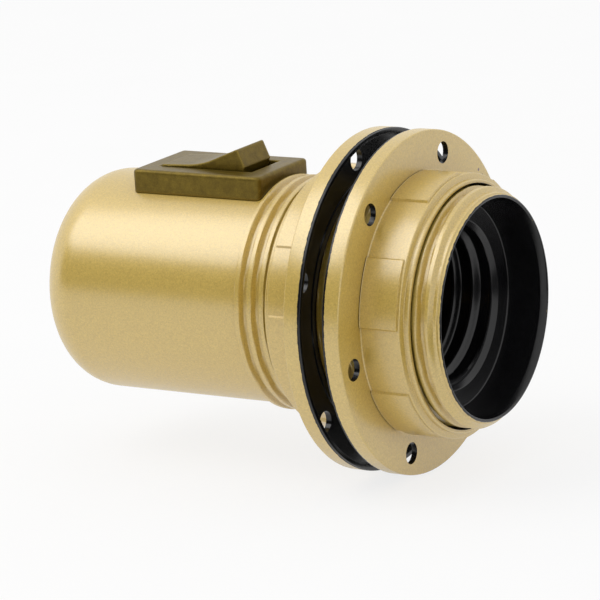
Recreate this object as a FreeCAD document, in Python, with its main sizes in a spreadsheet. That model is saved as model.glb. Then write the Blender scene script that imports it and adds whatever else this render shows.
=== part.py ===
import FreeCAD, Part
import os
import re

import Sketcher

# Screw-shell lampholder with a rocker switch and two shade rings, in millimetres.
# The origin is the middle of the cable-entry end of the cap.
# +X runs along the axis to the mouth, +Z goes up through the middle of the switch.

SIZES = {
    # cap
    "cap_radius": 19.1,
    "cap_wall": 1.7,
    "cap_length": 41.5,
    "cap_corner": 8.0,
    "boss_radius": 9.4,
    "boss_length": 10.0,
    # threaded cable entry
    "bush_radius": 6.6,
    "bush_bore": 4.5,
    "lock_screw_x": 7.0,
    "lock_screw_radius": 1.5,
    "screw_clearance": 0.02,
    "lock_screw_set_back": 0.3,
    "lock_slot_width": 0.5,
    "lock_slot_depth": 0.8,
    # barrel
    "spigot_start": 37.5,
    "spigot_radius": 17.25,
    "spigot_bore": 15.6,
    "spigot_end": 44.0,
    "barrel_end": 80.0,
    "thread_root": 19.1,
    "thread_crest": 20.0,
    "thread_pitch": 2.4,
    "thread_start": 44.0,
    "thread_length": 34.4,
    "thread_root_width": 1.9,
    "thread_crest_width": 0.7,
    "thread_sunk": 0.3,
    "wall_bore": 17.2,
    "rim_radius": 18.75,
    "rim_edge": 0.45,
    "mouth_radius": 17.9,
    "skirt_radius": 17.45,
    "shelf_x": 72.8,
    "web": 1.6,
    "sleeve_radius": 15.1,
    "socket_radius": 13.45,
    "socket_lead": 0.8,
    "chamber_radius": 13.85,
    "chamber_end": 58.4,
    "sleeve_start": 50.5,
    # shade rings, measured from the face that meets the shade
    "ring_bore": 20.35,
    "flange_radius": 28.8,
    "flange_lip": 0.35,
    "lip_set_in": 0.1,
    "flange_thick": 3.1,
    "recess_depth": 1.9,
    "recess_outer": 27.9,
    "recess_draft": 0.2,
    "collar_radius": 22.0,
    "collar_end": 10.4,
    "collar_bevel": 0.25,
    "collar_lip_radius": 21.0,
    "collar_height": 11.55,
    "pad_rise": 0.35,
    "pad_sunk": 0.5,
    "pad_end": 10.05,
    "hole_circle": 25.1,
    "hole_radius": 1.85,
    "hole_count": 6,
    "front_ring_x": 63.95,
    "rear_ring_x": 59.8,
    "front_hole_angle": 11.5,
    "rear_hole_angle": 40.0,
    # switch housing
    "switch_x": 27.9,
    "bezel_length": 25.4,
    "bezel_width": 16.1,
    "bezel_top": 21.4,
    "bezel_step": 0.45,
    "bezel_seam": 0.1,
    "bezel_corner": 0.9,
    "bezel_edge": 0.6,
    "well_length": 18.6,
    "well_width": 9.2,
    "well_wall": 0.9,
    "well_floor": 7.4,
    "floor_thick": 1.2,
    "window_gap": 0.15,
    # rocker, about its pivot
    "pivot_z": 17.0,
    "rocker_tilt": 12.5,
    "rocker_half_width": 4.15,
    "rocker_tip_x": 7.9,
    "rocker_tip_z": 6.5,
    "rocker_tip_round": 0.35,
    "rocker_end_x": 8.5,
    "rocker_end_z": 3.3,
    "rocker_toe": 0.6,
    "rocker_valley_z": 5.1,
    "rocker_valley_round": 16.0,
    "rocker_hub_x": 2.6,
    "rocker_hub_z": 3.0,
    "trunnion_radius": 1.4,
    "trunnion_reach": 5.1,
    "trunnion_gap": 0.05,
    "trunnion_float": 0.1,
    "plunger_radius": 1.1,
    "plunger_tip": 6.0,
    "plunger_length": 3.6,
    "plunger_gap": 0.05,
    "spring_room": 3.6,
    "spring_wire_sides": 6,
    "spring_wire": 0.18,
    "spring_radius": 0.75,
    "spring_pitch": 0.8,
    # moving contact, about its own knife edge
    "bridge_tilt": 5.0,
    "bridge_half_length": 7.6,
    "bridge_width": 4.0,
    "bridge_thick": 0.7,
    "bridge_gap": 0.1,
    "knife_half_width": 1.2,
    "knife_notch": 0.25,
    "knife_gap": 0.08,
    # terminals and lamp contacts
    "block_length": 6.5,
    "block_width": 5.0,
    "block_height": 5.6,
    "wire_radius": 1.3,
    "screw_radius": 1.25,
    "screw_head_radius": 2.1,
    "screw_head_height": 1.5,
    "screw_shank_length": 1.3,
    "screw_slot_width": 0.6,
    "screw_slot_depth": 0.7,
    "leaf": 0.6,
    "slot_gap": 0.1,
    "post_width": 4.0,
    "knife_bevel": 0.25,
    "link_z": 4.6,
    "link_width": 3.6,
    "link_tab": 5.4,
    "carrier_start": 42.0,
    "carrier_radius": 15.5,
    "carrier_flat": 3.0,
    "pad_length": 1.6,
    "pad_height": 0.85,
    "rivet_z": 7.4,
    "rivet_radius": 1.2,
    "rivet_hole": 1.25,
    "rivet_head_radius": 2.0,
    "rivet_head_height": 0.7,
    "tongue_top": 10.0,
    "tongue_bend": 4.8,
    "tongue_width": 5.0,
    "tongue_rise": 4.6,
    "tongue_knee": 2.3,
    "tongue_tip": 5.0,
    "tongue_slack": 0.2,
    "side_y": 8.0,
    "side_foot_end": 6.0,
    "side_reach": 12.9,
    "side_length": 7.0,
    "side_width": 4.4,
}


def fill_sheet(doc):
    """One named cell for each driving dimension."""
    sheet = doc.addObject("Spreadsheet::Sheet", "Sizes")
    for row, (alias, number) in enumerate(SIZES.items(), start=1):
        sheet.set("A%d" % row, alias)
        sheet.set("B%d" % row, str(number))
        sheet.setAlias("B%d" % row, alias)
    doc.recompute()
    return sheet


def on_sheet(text):
    """Makes an expression on the sheet out of one written with plain dimension names."""
    return re.sub(r"[a-z]\w*", lambda word: "Sizes." + word.group(), text)


def bind(item, bindings):
    for name, text in bindings.items():
        item.setExpression(name, on_sheet(text))


def new_body(doc, label):
    body = doc.addObject("PartDesign::Body", label)
    body.Label = label
    return body


def origin_part(body, role):
    return next(part for part in body.Origin.OriginFeatures if part.Role == role)


def new_sketch(body, name, role):
    sketch = body.newObject("Sketcher::SketchObject", name)
    sketch.AttachmentSupport = [(origin_part(body, role), "")]
    sketch.MapMode = "FlatFace"
    return sketch


def fix_point(sketch, geometry, place, start, x_text, y_text):
    """Ties one point of a sketch to the sheet by its two distances from the origin."""
    for kind, first, text in (("DistanceX", start.x, x_text), ("DistanceY", start.y, y_text)):
        number = sketch.addConstraint(Sketcher.Constraint(kind, -1, 1, geometry, place, first))
        sketch.setExpression("Constraints[%d]" % number, on_sheet(text))


def outline(body, name, role, corners):
    """A closed straight-sided sketch, each corner a pair of expressions."""
    sketch = new_sketch(body, name, role)
    count = len(corners)
    turn = FreeCAD.Rotation(FreeCAD.Vector(0, 0, 1), 360.0 / count)
    starts = [FreeCAD.Vector(30, 30, 0)]
    for _ in range(count - 1):
        starts.append(turn.multVec(starts[-1]))
    for index in range(count):
        sketch.addGeometry(Part.LineSegment(starts[index], starts[(index + 1) % count]), False)
    for index in range(count):
        sketch.addConstraint(Sketcher.Constraint("Coincident", index, 2, (index + 1) % count, 1))
    for index, (x_text, y_text) in enumerate(corners):
        fix_point(sketch, index, 1, starts[index], x_text, y_text)
    return sketch


def circle(body, name, role, x_text, y_text, radius_text):
    sketch = new_sketch(body, name, role)
    start = FreeCAD.Vector(1, 1, 0)
    sketch.addGeometry(Part.Circle(start, FreeCAD.Vector(0, 0, 1), 1), False)
    fix_point(sketch, 0, 3, start, x_text, y_text)
    number = sketch.addConstraint(Sketcher.Constraint("Radius", 0, 1.0))
    sketch.setExpression("Constraints[%d]" % number, on_sheet(radius_text))
    return sketch


def turned(body, name, corners):
    """A solid turned about the X axis from corners given as distance along it and radius."""
    sketch = outline(body, name + "_profile", "XZ_Plane", corners)
    feature = body.newObject("PartDesign::Revolution", name)
    feature.Profile = sketch
    feature.ReferenceAxis = (sketch, ["H_Axis"])
    feature.Angle = 360
    return feature


def prism(body, kind, name, sketch, length_text, both_ways=False, backwards=False):
    feature = body.newObject("PartDesign::" + kind, name)
    feature.Profile = sketch
    feature.SideType = "Symmetric" if both_ways else "One side"
    feature.Reversed = backwards
    feature.setExpression("Length", on_sheet(length_text))
    return feature


def edges_where(feature, test):
    names = []
    for number, edge in enumerate(feature.Shape.Edges, start=1):
        if test(edge):
            names.append("Edge%d" % number)
    return names


def rounded(doc, body, name, feature, test, radius_text, kind="Fillet"):
    """Rounds or bevels the edges of a feature that pass a test."""
    doc.recompute()
    dressed = body.newObject("PartDesign::" + kind, name)
    dressed.Base = (feature, edges_where(feature, test))
    dressed.setExpression("Radius" if kind == "Fillet" else "Size", on_sheet(radius_text))
    return dressed


def repeated(body, name, feature, count_text):
    """Repeats a feature evenly round the X axis."""
    pattern = body.newObject("PartDesign::PolarPattern", name)
    pattern.Originals = [feature]
    pattern.Axis = (origin_part(body, "X_Axis"), [""])
    pattern.Angle = 360
    pattern.setExpression("Occurrences", on_sheet(count_text))
    body.Tip = pattern
    return pattern


def box(doc, name, length, width, height, x, y, z):
    solid = doc.addObject("Part::Box", name)
    bind(solid, {"Length": length, "Width": width, "Height": height})
    bind(solid, {"Placement.Base.x": x, "Placement.Base.y": y, "Placement.Base.z": z})
    return solid


DIRECTIONS = {
    "+x": FreeCAD.Rotation(FreeCAD.Vector(0, 1, 0), 90),
    "+y": FreeCAD.Rotation(FreeCAD.Vector(1, 0, 0), -90),
    "+z": FreeCAD.Rotation(),
}


def rod(doc, name, direction, radius, length, x, y, z):
    solid = doc.addObject("Part::Cylinder", name)
    solid.Placement = FreeCAD.Placement(FreeCAD.Vector(), DIRECTIONS[direction])
    bind(solid, {"Radius": radius, "Height": length})
    bind(solid, {"Placement.Base.x": x, "Placement.Base.y": y, "Placement.Base.z": z})
    return solid


def joined(doc, name, solids):
    whole = doc.addObject("Part::MultiFuse", name)
    whole.Shapes = solids
    whole.Refine = True
    return whole


def cut(doc, name, base, tool):
    rest = doc.addObject("Part::Cut", name)
    rest.Base = base
    rest.Tool = tool
    rest.Refine = True
    return rest


def named(item, label):
    item.Label = label
    return item


# ---------------------------------------------------------------- housing

def make_cap(doc):
    """Domed shell with a boss round the cable entry and a window for the switch."""
    body = new_body(doc, "cap")
    inner = "cap_radius - cap_wall"
    diagonal = "(cap_corner - cap_wall) * 0.7071"
    shell = turned(body, "cap_shell", [
        ("0", "bush_radius"),
        ("0", "cap_radius"),
        ("cap_length", "cap_radius"),
        ("cap_length", inner),
        ("cap_corner", inner),
        ("cap_corner - " + diagonal, "cap_radius - cap_corner + " + diagonal),
        ("cap_wall", "boss_radius"),
        ("boss_length", "boss_radius"),
        ("boss_length", "bush_radius"),
    ])

    def outer_corner(edge):
        bounds = edge.BoundBox
        return bounds.XMax < 0.01 and bounds.ZMax > SIZES["cap_radius"] - 0.01

    rounded(doc, body, "cap_dome", shell, outer_corner, "cap_corner")
    half_x = "well_length / 2 + well_wall + window_gap"
    half_y = "well_width / 2 + well_wall + window_gap"
    window = outline(body, "window_outline", "XY_Plane", [
        ("switch_x - (%s)" % half_x, "-(%s)" % half_y),
        ("switch_x + (%s)" % half_x, "-(%s)" % half_y),
        ("switch_x + (%s)" % half_x, half_y),
        ("switch_x - (%s)" % half_x, half_y),
    ])
    prism(body, "Pocket", "switch_window", window, "cap_radius + 1", backwards=True)
    screw = circle(body, "lock_screw_circle", "XY_Plane", "lock_screw_x", "0", "lock_screw_radius")
    prism(body, "Pocket", "lock_screw_hole", screw, "boss_radius + 1")
    return body


def make_entry_bush(doc):
    """Brass bush that carries the cable entry's thread, pressed into the cap's boss."""
    body = new_body(doc, "entry_bush")
    turned(body, "bush_turned", [
        ("0", "bush_bore"),
        ("0", "bush_radius"),
        ("boss_length", "bush_radius"),
        ("boss_length", "bush_bore"),
    ])
    screw = circle(body, "lock_screw_circle", "XY_Plane", "lock_screw_x", "0", "lock_screw_radius")
    prism(body, "Pocket", "lock_screw_hole", screw, "boss_radius + 1")
    return body


def make_lock_screw(doc):
    """Grub screw that locks the entry thread, with a driver slot in its outer end."""
    shank = rod(doc, "lock_shank", "+z", "lock_screw_radius - screw_clearance",
                "boss_radius - bush_bore - lock_screw_set_back", "lock_screw_x", "0", "-boss_radius")
    slot = box(doc, "lock_slot", "2 * lock_screw_radius", "lock_slot_width", "lock_slot_depth",
               "lock_screw_x - lock_screw_radius", "-lock_slot_width / 2", "-boss_radius")
    return named(cut(doc, "lock_screw_cut", shank, slot), "entry_lock_screw")


def make_barrel(doc):
    """Double-walled barrel: threaded outer wall, and a socket sleeve hung from a front web."""
    body = new_body(doc, "threaded_barrel")
    turned(body, "barrel_turned", [
        ("spigot_start", "spigot_bore"),
        ("spigot_start", "spigot_radius"),
        ("cap_length", "spigot_radius"),
        ("cap_length", "thread_root"),
        ("barrel_end - rim_edge", "thread_root"),
        ("barrel_end", "rim_radius"),
        ("barrel_end", "mouth_radius + rim_edge"),
        ("barrel_end - rim_edge", "mouth_radius"),
        ("shelf_x", "skirt_radius"),
        ("shelf_x", "socket_radius + socket_lead"),
        ("shelf_x - socket_lead", "socket_radius"),
        ("chamber_end", "socket_radius"),
        ("chamber_end", "chamber_radius"),
        ("sleeve_start", "chamber_radius"),
        ("sleeve_start", "sleeve_radius"),
        ("shelf_x - web", "sleeve_radius"),
        ("shelf_x - web", "wall_bore"),
        ("spigot_end", "wall_bore"),
        ("spigot_end", "spigot_bore"),
    ])
    half_y = "well_width / 2 + well_wall + 2 * window_gap"
    notch = outline(body, "notch_outline", "XY_Plane", [
        ("spigot_start - 1", "-(%s)" % half_y),
        ("switch_x + well_length / 2 + well_wall + 2 * window_gap", "-(%s)" % half_y),
        ("switch_x + well_length / 2 + well_wall + 2 * window_gap", half_y),
        ("spigot_start - 1", half_y),
    ])
    prism(body, "Pocket", "switch_notch", notch, "cap_radius", backwards=True)
    ridge = outline(body, "thread_section", "XZ_Plane", [
        ("thread_start - thread_root_width / 2", "thread_root - thread_sunk"),
        ("thread_start + thread_root_width / 2", "thread_root - thread_sunk"),
        ("thread_start + thread_crest_width / 2", "thread_crest"),
        ("thread_start - thread_crest_width / 2", "thread_crest"),
    ])
    thread = body.newObject("PartDesign::AdditiveHelix", "shade_ring_thread")
    thread.Profile = ridge
    thread.ReferenceAxis = (ridge, ["H_Axis"])
    thread.Mode = 0
    bind(thread, {"Pitch": "thread_pitch", "Height": "thread_length"})
    return body


def make_shade_ring(doc, label, mating_x, angle_cell, towards_mouth):
    """Flanged ring: recessed mating side, collar with grip pads and a circle of rivet holes.

    It is drawn along +X from its mating face, with a hole on +Y and a pad on +Z, then
    turned to face its own way.
    """
    body = new_body(doc, label)
    turned(body, label + "_turned", [
        ("recess_depth", "ring_bore"),
        ("recess_depth", "recess_outer - recess_draft"),
        ("0", "recess_outer"),
        ("0", "flange_radius - lip_set_in"),
        ("flange_lip", "flange_radius - lip_set_in"),
        ("flange_lip", "flange_radius"),
        ("flange_thick", "flange_radius"),
        ("flange_thick", "collar_radius"),
        ("collar_end", "collar_radius"),
        ("collar_end + collar_bevel", "collar_lip_radius"),
        ("collar_height", "collar_lip_radius"),
        ("collar_height", "ring_bore"),
    ])
    section = outline(body, label + "_pad_section", "XZ_Plane", [
        ("flange_thick - pad_sunk", "collar_radius - pad_sunk"),
        ("pad_end", "collar_radius - pad_sunk"),
        ("pad_end", "collar_radius + pad_rise"),
        ("flange_thick - pad_sunk", "collar_radius + pad_rise"),
    ])
    pad = body.newObject("PartDesign::Revolution", label + "_pad")
    pad.Profile = section
    pad.ReferenceAxis = (section, ["H_Axis"])
    pad.Midplane = True
    bind(pad, {"Angle": "180 / hole_count"})
    repeated(body, label + "_pads", pad, "hole_count")
    rivet = circle(body, label + "_hole_circle", "YZ_Plane", "hole_circle", "0", "hole_radius")
    hole = prism(body, "Pocket", label + "_hole", rivet, "2 * flange_thick + 2", both_ways=True)
    repeated(body, label + "_holes", hole, "hole_count")
    facing = FreeCAD.Rotation(FreeCAD.Vector(0, 0, 1), 0 if towards_mouth else 180)
    turn = FreeCAD.Rotation(FreeCAD.Vector(1, 0, 0), SIZES[angle_cell])
    body.Placement = FreeCAD.Placement(FreeCAD.Vector(), turn * facing)
    bind(body, {"Placement.Base.x": mating_x})
    return body


# ---------------------------------------------------------------- switch

def make_switch_housing(doc):
    """Bezel saddled on the cap, and under it the well that holds the rocker and contacts."""
    half_length = "bezel_length / 2"
    rim = box(doc, "bezel_rim", "bezel_length", "bezel_width", "bezel_top", "switch_x - " + half_length,
              "-bezel_width / 2", "0")
    doc.recompute()
    corners = doc.addObject("Part::Fillet", "bezel_corners")
    corners.Base = rim
    corner = SIZES["bezel_corner"]
    corners.Edges = [(number, corner, corner) for number, edge in enumerate(rim.Shape.Edges, start=1)
                     if edge.BoundBox.ZLength > SIZES["bezel_top"] - 0.01]
    doc.recompute()
    softened = doc.addObject("Part::Fillet", "bezel_softened")
    softened.Base = corners
    soft = SIZES["bezel_edge"]
    softened.Edges = [(number, soft, soft) for number, edge in enumerate(corners.Shape.Edges, start=1)
                      if edge.BoundBox.ZMin > SIZES["bezel_top"] - 0.01]
    seam = rod(doc, "bezel_seam_round", "+x", "cap_radius + bezel_seam", "cap_length", "0", "0", "0")
    plate = cut(doc, "bezel_plate", softened, seam)
    foot_block = box(doc, "bezel_foot_block", "bezel_length - 2 * bezel_step", "bezel_width - 2 * bezel_step",
                     "bezel_top - 1", "switch_x - bezel_length / 2 + bezel_step",
                     "-(bezel_width / 2 - bezel_step)", "0")
    saddle = rod(doc, "bezel_saddle", "+x", "cap_radius", "cap_length", "0", "0", "0")
    foot = cut(doc, "bezel_foot", foot_block, saddle)
    well = box(doc, "well_block", "well_length + 2 * well_wall", "well_width + 2 * well_wall",
               "bezel_top - 1 - well_floor", "switch_x - well_length / 2 - well_wall",
               "-(well_width / 2 + well_wall)", "well_floor")
    outside = joined(doc, "housing_outside", [plate, foot, well])
    room = box(doc, "well_room", "well_length", "well_width", "bezel_top", "switch_x - well_length / 2",
               "-well_width / 2", "well_floor + floor_thick")
    trunnions = rod(doc, "trunnion_holes", "+y", "trunnion_radius + trunnion_gap",
                    "2 * (trunnion_reach + trunnion_float)", "switch_x",
                    "-(trunnion_reach + trunnion_float)", "pivot_z")
    post = box(doc, "post_slot", "leaf + slot_gap", "post_width + slot_gap", "well_floor",
               "switch_x - (leaf + slot_gap) / 2", "-(post_width + slot_gap) / 2", "well_floor - 1")
    leg = box(doc, "leg_slot", "leaf + slot_gap", "link_width + slot_gap", "well_floor",
              "switch_x + bridge_half_length - pad_length - slot_gap / 2",
              "-(link_width + slot_gap) / 2", "well_floor - 1")
    inside = joined(doc, "housing_inside", [room, trunnions, post, leg])
    return named(cut(doc, "housing_cut", outside, inside), "switch_housing")


def make_rocker(doc):
    """Rocker with a shallow valley, drawn level about its pivot and tipped to its rest side."""
    body = new_body(doc, "switch_rocker")
    sketch = outline(body, "rocker_side", "XZ_Plane", [
        ("-rocker_tip_x", "rocker_tip_z"),
        ("-rocker_end_x", "rocker_end_z"),
        ("-rocker_end_x + rocker_toe", "rocker_end_z - 1"),
        ("-rocker_hub_x", "-rocker_hub_z"),
        ("rocker_hub_x", "-rocker_hub_z"),
        ("rocker_end_x - rocker_toe", "rocker_end_z - 1"),
        ("rocker_end_x", "rocker_end_z"),
        ("rocker_tip_x", "rocker_tip_z"),
        ("0", "rocker_valley_z"),
    ])
    solid = prism(body, "Pad", "rocker_solid", sketch, "2 * rocker_half_width", both_ways=True)

    def in_valley(edge):
        bounds = edge.BoundBox
        return abs(bounds.ZMax - SIZES["rocker_valley_z"]) < 0.01 and bounds.XLength < 0.01

    def on_tips(edge):
        bounds = edge.BoundBox
        return abs(bounds.ZMin - SIZES["rocker_tip_z"]) < 0.01 and bounds.XLength < 0.01

    valley = rounded(doc, body, "rocker_valley", solid, in_valley, "rocker_valley_round")
    rounded(doc, body, "rocker_tips", valley, on_tips, "rocker_tip_round")
    stub = circle(body, "trunnion_circle", "XZ_Plane", "0", "0", "trunnion_radius")
    prism(body, "Pad", "trunnions", stub, "2 * trunnion_reach", both_ways=True)
    bore = circle(body, "plunger_circle", "XY_Plane", "0", "0", "plunger_radius + plunger_gap")
    prism(body, "Pocket", "plunger_bore", bore, "rocker_hub_z + 1")
    seat = circle(body, "spring_circle", "XY_Plane", "0", "0", "plunger_radius + plunger_gap")
    prism(body, "Pocket", "spring_bore", seat, "plunger_length + spring_room - plunger_tip",
          backwards=True)
    return tipped(body)


def tipped(item):
    """Sets a piece drawn about the rocker's pivot at the pivot, with the mouth end raised."""
    turn = FreeCAD.Rotation(FreeCAD.Vector(0, 1, 0), -SIZES["rocker_tilt"])
    item.Placement = FreeCAD.Placement(FreeCAD.Vector(), turn)
    bind(item, {"Placement.Base.x": "switch_x", "Placement.Base.z": "pivot_z"})
    return item


def make_plunger(doc):
    """Blunt-nosed plunger that slides in the rocker's hub and presses on the bridge."""
    body = new_body(doc, "rocker_plunger")
    sketch = circle(body, "plunger_round", "XY_Plane", "0", "0", "plunger_radius")
    bind(sketch, {"AttachmentOffset.Base.z": "-plunger_tip"})
    solid = prism(body, "Pad", "plunger_solid", sketch, "plunger_length")

    def at_nose(edge):
        return edge.BoundBox.ZMax < -SIZES["plunger_tip"] + 0.01

    rounded(doc, body, "plunger_nose", solid, at_nose, "plunger_radius / 2", "Chamfer")
    return tipped(body)


def make_rocker_spring(doc, sheet):
    """Coil spring of six-sided wire between the plunger and the end of its bore."""
    wire = sheet.spring_wire
    radius = sheet.spring_radius
    foot = sheet.plunger_length - sheet.plunger_tip + wire
    height = sheet.spring_room - 2 * wire
    path = Part.makeHelix(sheet.spring_pitch, height, radius)
    path.translate(FreeCAD.Vector(0, 0, foot))
    sides = int(sheet.spring_wire_sides)
    turn = FreeCAD.Rotation(FreeCAD.Vector(0, 1, 0), 360 / sides)
    corners = [FreeCAD.Vector(wire, 0, 0)]
    for _ in range(sides):
        corners.append(turn.multVec(corners[-1]))
    section = Part.makePolygon(corners)
    section.translate(FreeCAD.Vector(radius, 0, foot))
    coil = doc.addObject("Part::Feature", "spring_coil")
    coil.Shape = Part.Wire(path).makePipeShell([section], True, True)
    return named(tipped(coil), "rocker_spring")


def make_bridge(doc):
    """Seesaw contact strip, drawn about the notch that rides on the live post's knife edge."""
    body = new_body(doc, "contact_bridge")
    sketch = outline(body, "bridge_side", "XZ_Plane", [
        ("-bridge_half_length", "0"),
        ("-knife_half_width", "0"),
        ("-knife_half_width", "-knife_notch"),
        ("-knife_half_width / 2", "-knife_notch"),
        ("0", "0"),
        ("knife_half_width / 2", "-knife_notch"),
        ("knife_half_width", "-knife_notch"),
        ("knife_half_width", "0"),
        ("bridge_half_length", "0"),
        ("bridge_half_length", "bridge_thick"),
        ("-bridge_half_length", "bridge_thick"),
    ])
    prism(body, "Pad", "bridge_strip", sketch, "bridge_width", both_ways=True)
    turn = FreeCAD.Rotation(FreeCAD.Vector(0, 1, 0), SIZES["bridge_tilt"])
    body.Placement = FreeCAD.Placement(FreeCAD.Vector(), turn)
    bind(body, {"Placement.Base.x": "switch_x",
                "Placement.Base.z": "pivot_z - plunger_tip - bridge_gap - bridge_thick"})
    return body


# ---------------------------------------------------------------- terminals and contacts

def terminal_block(doc, name, x, y, z):
    """Brass clamp block: wire hole along X, screw hole in from the -Y side."""
    block = box(doc, name + "_block", "block_length", "block_width", "block_height", x,
                "%s - block_width / 2" % y, z)
    wire = rod(doc, name + "_wire_hole", "+x", "wire_radius", "block_length + 2", x + " - 1", y,
               "%s + block_height / 2" % z)
    screw = rod(doc, name + "_screw_hole", "+y", "screw_radius", "block_width / 2",
                x + " + block_length / 2", "%s - block_width / 2" % y, "%s + block_height / 2" % z)
    return cut(doc, name + "_drilled", block, joined(doc, name + "_holes", [wire, screw]))


LIVE_BLOCK = ("switch_x - block_length / 2", "0", "well_floor - block_height")
NEUTRAL_BLOCK = ("carrier_start - block_length", "-side_y", "-block_height / 2")


def make_live_terminal(doc):
    """Clamp block under the switch, with a post up through its floor to a knife edge."""
    block = terminal_block(doc, "live", *LIVE_BLOCK)
    top = "pivot_z - plunger_tip - bridge_gap - bridge_thick - knife_gap"
    post = box(doc, "live_post", "leaf", "post_width", "%s - well_floor" % top,
               "switch_x - leaf / 2", "-post_width / 2", "well_floor")
    doc.recompute()
    knife = doc.addObject("Part::Chamfer", "live_knife")
    knife.Base = post
    bevel = SIZES["knife_bevel"]
    knife.Edges = [(number, bevel, bevel) for number, edge in enumerate(post.Shape.Edges, start=1)
                   if edge.BoundBox.ZLength < 0.01 and edge.BoundBox.XLength < 0.01
                   and edge.BoundBox.ZMax > post.Shape.BoundBox.ZMax - 0.01]
    return named(joined(doc, "live_joined", [block, knife]), "live_terminal")


def make_neutral_terminal(doc):
    return named(terminal_block(doc, "neutral", *NEUTRAL_BLOCK), "neutral_terminal")


def make_terminal_screws(doc):
    """Two slotted clamp screws, one in each block."""
    solids = []
    for name, (x, y, z) in (("live", LIVE_BLOCK), ("neutral", NEUTRAL_BLOCK)):
        middle_x = x + " + block_length / 2"
        middle_z = "%s + block_height / 2" % z
        face = "%s - block_width / 2" % y
        shank = rod(doc, name + "_screw_shank", "+y", "screw_radius - screw_clearance",
                    "screw_shank_length", middle_x, face, middle_z)
        head = rod(doc, name + "_screw_head", "+y", "screw_head_radius", "screw_head_height",
                   middle_x, face + " - screw_head_height", middle_z)
        slot = box(doc, name + "_screw_slot", "2 * screw_head_radius", "screw_slot_depth",
                   "screw_slot_width", middle_x + " - screw_head_radius", face + " - screw_head_height",
                   middle_z + " - screw_slot_width / 2")
        solids.append(cut(doc, name + "_screw", joined(doc, name + "_screw_solid", [shank, head]), slot))
    group = doc.addObject("Part::Compound", "screw_pair")
    group.Links = solids
    return named(group, "terminal_screws")


def make_switched_contact(doc):
    """Fixed contact under the mouth end of the bridge, with a leg down through the floor."""
    x = "switch_x + bridge_half_length - pad_length"
    pad = box(doc, "switched_pad", "pad_length", "link_width", "pad_height", x, "-link_width / 2",
              "well_floor + floor_thick")
    leg = box(doc, "switched_leg", "leaf", "link_width", "well_floor + floor_thick - link_z - leaf", x,
              "-link_width / 2", "link_z + leaf")
    return named(joined(doc, "switched_joined", [pad, leg]), "switched_contact")


def make_link_strip(doc):
    """Strip from the switched contact to the carrier, turned up there into a riveted tab."""
    start = "switch_x + bridge_half_length - pad_length"
    level = box(doc, "link_level", "carrier_start - (%s)" % start, "link_width", "leaf", start,
                "-link_width / 2", "link_z")
    tab = box(doc, "link_tab", "leaf", "link_width", "link_tab", "carrier_start - leaf",
              "-link_width / 2", "link_z")
    bent = joined(doc, "link_bent", [level, tab])
    hole = rivet_hole(doc, "link_hole", "carrier_start - leaf", "leaf", "0", "rivet_z")
    return named(cut(doc, "link_drilled", bent, hole), "link_strip")


def rivet_hole(doc, name, x, length, y, z):
    return rod(doc, name, "+x", "rivet_hole", length, x, y, z)


def make_carrier(doc):
    """Moulded disc that closes the socket sleeve and carries both lamp contacts."""
    depth = "sleeve_start - carrier_start"
    disc = rod(doc, "carrier_disc", "+x", "carrier_radius", depth, "carrier_start", "0", "0")
    centre = rivet_hole(doc, "centre_hole", "carrier_start", depth, "0", "rivet_z")
    side = rivet_hole(doc, "side_hole", "carrier_start", depth, "-side_y", "0")
    hollow = rod(doc, "carrier_hollow", "+x", "carrier_radius - carrier_flat", "carrier_flat",
                 "carrier_start - 1", "0", "-carrier_radius")
    return named(cut(doc, "carrier_cut", disc, joined(doc, "carrier_holes", [centre, side, hollow])),
                 "contact_carrier")


def make_centre_contact(doc):
    """Spring tongue that meets the lamp's end, riveted to the carrier."""
    body = new_body(doc, "centre_contact")
    sketch = outline(body, "tongue_side", "XZ_Plane", [
        ("sleeve_start", "tongue_top"),
        ("sleeve_start", "tongue_bend"),
        ("sleeve_start + tongue_rise - leaf", "-tongue_knee - tongue_slack"),
        ("sleeve_start + tongue_rise - leaf", "-tongue_tip"),
        ("sleeve_start + tongue_rise", "-tongue_tip"),
        ("sleeve_start + tongue_rise", "-tongue_knee"),
        ("sleeve_start + leaf", "tongue_bend + tongue_slack"),
        ("sleeve_start + leaf", "tongue_top"),
    ])
    prism(body, "Pad", "tongue", sketch, "tongue_width", both_ways=True)
    rivet = circle(body, "tongue_hole_circle", "YZ_Plane", "0", "rivet_z", "rivet_hole")
    bind(rivet, {"AttachmentOffset.Base.z": "sleeve_start"})
    prism(body, "Pocket", "tongue_hole", rivet, "leaf", backwards=True)
    return body


def make_side_contact(doc):
    """Blade along the socket wall that meets the lamp's shell, riveted to the carrier."""
    foot = box(doc, "side_foot", "leaf", "side_reach - side_foot_end", "side_width", "sleeve_start",
               "-side_reach", "-side_width / 2")
    blade = box(doc, "side_blade", "side_length", "leaf", "side_width", "sleeve_start", "-side_reach",
                "-side_width / 2")
    bent = joined(doc, "side_bent", [foot, blade])
    hole = rivet_hole(doc, "side_contact_hole", "sleeve_start", "leaf", "-side_y", "0")
    return named(cut(doc, "side_drilled", bent, hole), "side_contact")


def make_rivets(doc):
    """Two brass rivets through the carrier, one for each lamp contact."""
    solids = []
    places = (("centre", "carrier_start - leaf", "0", "rivet_z"), ("side", "carrier_start", "-side_y", "0"))
    for name, start, y, z in places:
        shank = rod(doc, name + "_rivet_shank", "+x", "rivet_radius", "sleeve_start + leaf - (%s)" % start,
                    start, y, z)
        head = rod(doc, name + "_rivet_head", "+x", "rivet_head_radius", "rivet_head_height",
                   "sleeve_start + leaf", y, z)
        solids.append(joined(doc, name + "_rivet", [shank, head]))
    pair = doc.addObject("Part::Compound", "rivet_pair")
    pair.Links = solids
    return named(pair, "contact_rivets")


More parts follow.
